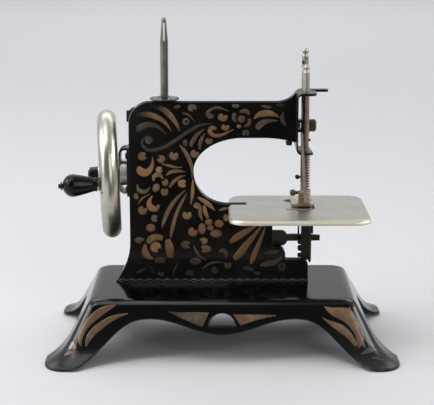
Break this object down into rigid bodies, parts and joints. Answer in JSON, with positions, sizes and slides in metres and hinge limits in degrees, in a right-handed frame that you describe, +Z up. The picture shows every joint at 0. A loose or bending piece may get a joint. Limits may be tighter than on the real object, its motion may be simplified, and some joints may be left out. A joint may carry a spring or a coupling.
{
  "type": "toy sewing machine",
  "caption": "Hand-cranked toy chain-stitch sewing machine: pressed base on splayed feet, floral C-shaped body, hand wheel, rocking levers, needle bar, sprung presser foot and cloth plate.",
  "frame": {"origin": "middle of the four feet on the table", "axes": "+X towards the needle head, +Y towards the open back of the body, +Z up"},
  "size_m": [0.165, 0.1044, 0.1566],
  "materials": {
    "black_japan": "glossy black japan with gold and copper floral scrolls",
    "nickel": "warm polished nickel plate, lightly worn",
    "worn_steel": "browned bare steel",
    "dark_steel": "darkened steel",
    "bright_steel": "polished steel",
    "black_wood": "black lacquer"
  },
  "bodies": {
    "frame": {"base": "black_japan", "body_plate": "black_japan", "body_screws": "dark_steel", "body_nuts": "dark_steel", "head_bracket": "black_japan", "head_rivets": "black_japan", "head_screw": "black_japan", "cloth_plate": "nickel", "needle_plate": "nickel", "plate_post": "black_japan", "post_screws": "black_japan", "guide_strip": "worn_steel", "bearing_bracket": "black_japan", "bearing_bridge": "worn_steel", "bearing_bush": "nickel", "bracket_rivets": "black_japan", "spool_pin": "nickel", "spool_dish": "nickel", "lever_rivet": "black_japan", "looper_stud": "dark_steel", "presser_spring": "worn_steel"},
    "wheel": {"hand_wheel": "nickel", "main_shaft": "dark_steel", "crank_disc": "dark_steel", "axle_nut": "dark_steel", "handle_spindle": "dark_steel"},
    "handle": {"handle_knob": "black_wood"},
    "needle_lever": {"needle_lever": "worn_steel"},
    "drive_rod": {"drive_rod": "worn_steel"},
    "looper": {"looper_lever": "worn_steel", "looper_wire": "worn_steel"},
    "needle_bar": {"needle_bar": "nickel", "carriage": "worn_steel", "thumb_screw": "worn_steel", "needle": "bright_steel", "needle_screw": "dark_steel"},
    "presser": {"presser_bar": "nickel", "presser_pin": "dark_steel", "presser_foot": "worn_steel", "foot_screw": "worn_steel", "foot_strip": "worn_steel"}
  },
  "joints": [
    {"name": "wheel_spin", "type": "hinge", "parent": "frame", "child": "wheel", "pos_m": [-0.05516, 0.0102, 0.07994], "axis": [-0.9963, -0.0784, -0.0349], "continuous": true},
    {"name": "handle_spin", "type": "hinge", "parent": "wheel", "child": "handle", "pos_m": [-0.06504, -0.01455, 0.07953], "axis": [-0.9963, -0.0784, -0.0349], "continuous": true},
    {"name": "needle_lever_rock", "type": "hinge", "parent": "frame", "child": "needle_lever", "pos_m": [-0.0172, 0.009, 0.1072], "axis": [0, -1, 0], "range_deg": [-7.5, 8]},
    {"name": "drive_rod_swing", "type": "hinge", "parent": "needle_lever", "child": "drive_rod", "pos_m": [-0.0341, 0.009, 0.1072], "axis": [0, -1, 0], "range_deg": [-8, 7.5]},
    {"name": "looper_rock", "type": "hinge", "parent": "frame", "child": "looper", "pos_m": [-0.008, 0.009, 0.048], "axis": [0, -1, 0], "range_deg": [-4.86, 5.18]},
    {"name": "needle_bar_slide", "type": "slide", "parent": "frame", "child": "needle_bar", "axis": [0, 0, 1], "range_m": [-0.00708, 0.00755]},
    {"name": "presser_lift", "type": "slide", "parent": "frame", "child": "presser", "axis": [0, 0, 1], "range_m": [0, 0.0045], "stiffness_N_per_m": 300, "springref_m": -0.006, "deforming": ["presser_spring"]}
  ],
  "couplings": [
    {"joint": "drive_rod_swing", "follows": "needle_lever_rock", "ratio": -1},
    {"joint": "looper_rock", "follows": "needle_lever_rock", "ratio": 0.64751},
    {"joint": "needle_bar_slide", "follows": "needle_lever_rock", "m_per_rad": 0.0541}
  ]
}
